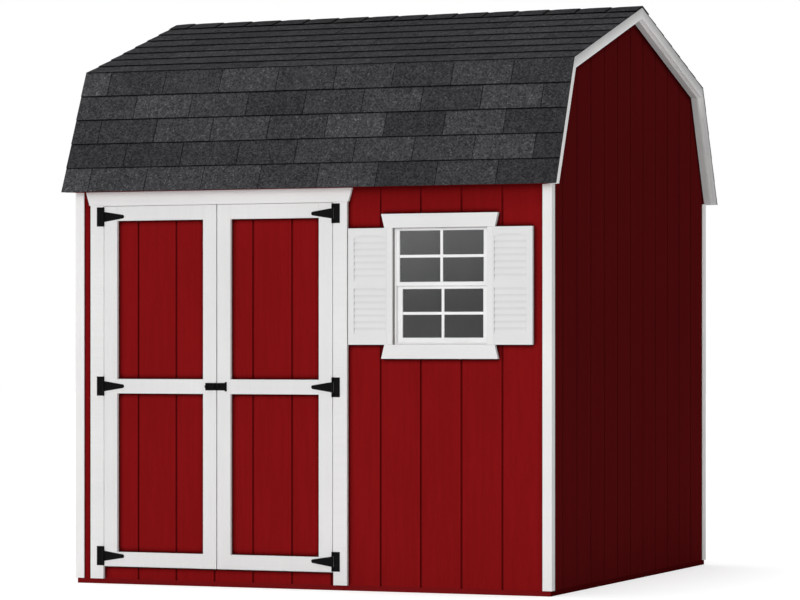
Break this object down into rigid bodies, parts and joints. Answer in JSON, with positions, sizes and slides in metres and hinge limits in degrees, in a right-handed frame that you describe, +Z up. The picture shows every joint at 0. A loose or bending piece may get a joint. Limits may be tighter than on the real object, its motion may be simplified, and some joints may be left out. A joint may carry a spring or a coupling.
{
  "type": "small gambrel-roof barn shed",
  "caption": "Small timber barn with a gambrel shingle roof, red grooved siding, white trim, hinged double doors with a sliding bolt, and a sash window between louvred shutters.",
  "frame": {"origin": "centre of the footprint on the ground", "axes": "+X to the right along the front, the front with the doors faces -Y, +Z up"},
  "size_m": [2.548, 2.596, 2.837],
  "materials": {
    "red_paint": "barn red paint on grooved siding, matte",
    "white_paint": "white painted trim boards, matte",
    "timber": "bare softwood framing",
    "plywood": "bare sheathing board",
    "shingle": "mineral-faced asphalt shingles, charcoal with lighter flecks",
    "black_steel": "black powder coat",
    "white_vinyl": "white window profile",
    "white_plastic": "white moulded shutter",
    "glass": "clear pane"
  },
  "bodies": {
    "building": {"floor_frame": "timber", "floor_deck": "plywood", "base_strip": "red_paint", "front_siding_left": "red_paint", "front_siding_below_door": "red_paint", "front_siding_above_door": "red_paint", "front_siding_right": "red_paint", "back_siding": "red_paint", "left_siding": "red_paint", "right_siding": "red_paint", "bottom_plates": "timber", "top_plates": "timber", "front_studs": "timber", "back_studs": "timber", "side_studs": "timber", "opening_headers": "timber", "lower_rafters": "timber", "upper_rafters": "timber", "truss_gussets": "plywood", "lower_roof_boards": "plywood", "upper_roof_boards": "plywood", "lower_shingles": "shingle", "upper_shingles": "shingle", "ridge_cap": "shingle", "rake_fascias": "white_paint", "rake_strips": "white_paint", "eave_soffits": "red_paint", "corner_boards": "white_paint", "door_casings": "white_paint", "door_stops": "timber", "hinge_plates": "black_steel", "window_frame": "white_vinyl", "upper_sash": "white_vinyl", "lower_sash": "white_vinyl", "window_glass": "glass", "window_casings": "white_paint", "left_shutter": "white_plastic", "right_shutter": "white_plastic"},
    "left_door": {"left_door_panel": "red_paint", "left_door_boards": "white_paint", "left_door_straps": "black_steel", "latch_housing": "black_steel"},
    "right_door": {"right_door_panel": "red_paint", "right_door_boards": "white_paint", "right_door_straps": "black_steel", "latch_keeper": "black_steel"},
    "bolt": {"latch_bolt": "black_steel"}
  },
  "joints": [
    {"name": "left_door_hinge", "type": "hinge", "parent": "building", "child": "left_door", "pos_m": [-1.0705, -1.246, 0.96], "axis": [0, 0, -1], "range_deg": [0, 165]},
    {"name": "right_door_hinge", "type": "hinge", "parent": "building", "child": "right_door", "pos_m": [0.1385, -1.246, 0.96], "axis": [0, 0, 1], "range_deg": [0, 165]},
    {"name": "latch_bolt_slide", "type": "slide", "parent": "left_door", "child": "bolt", "axis": [1, 0, 0], "range_m": [0, 0.02]}
  ]
}
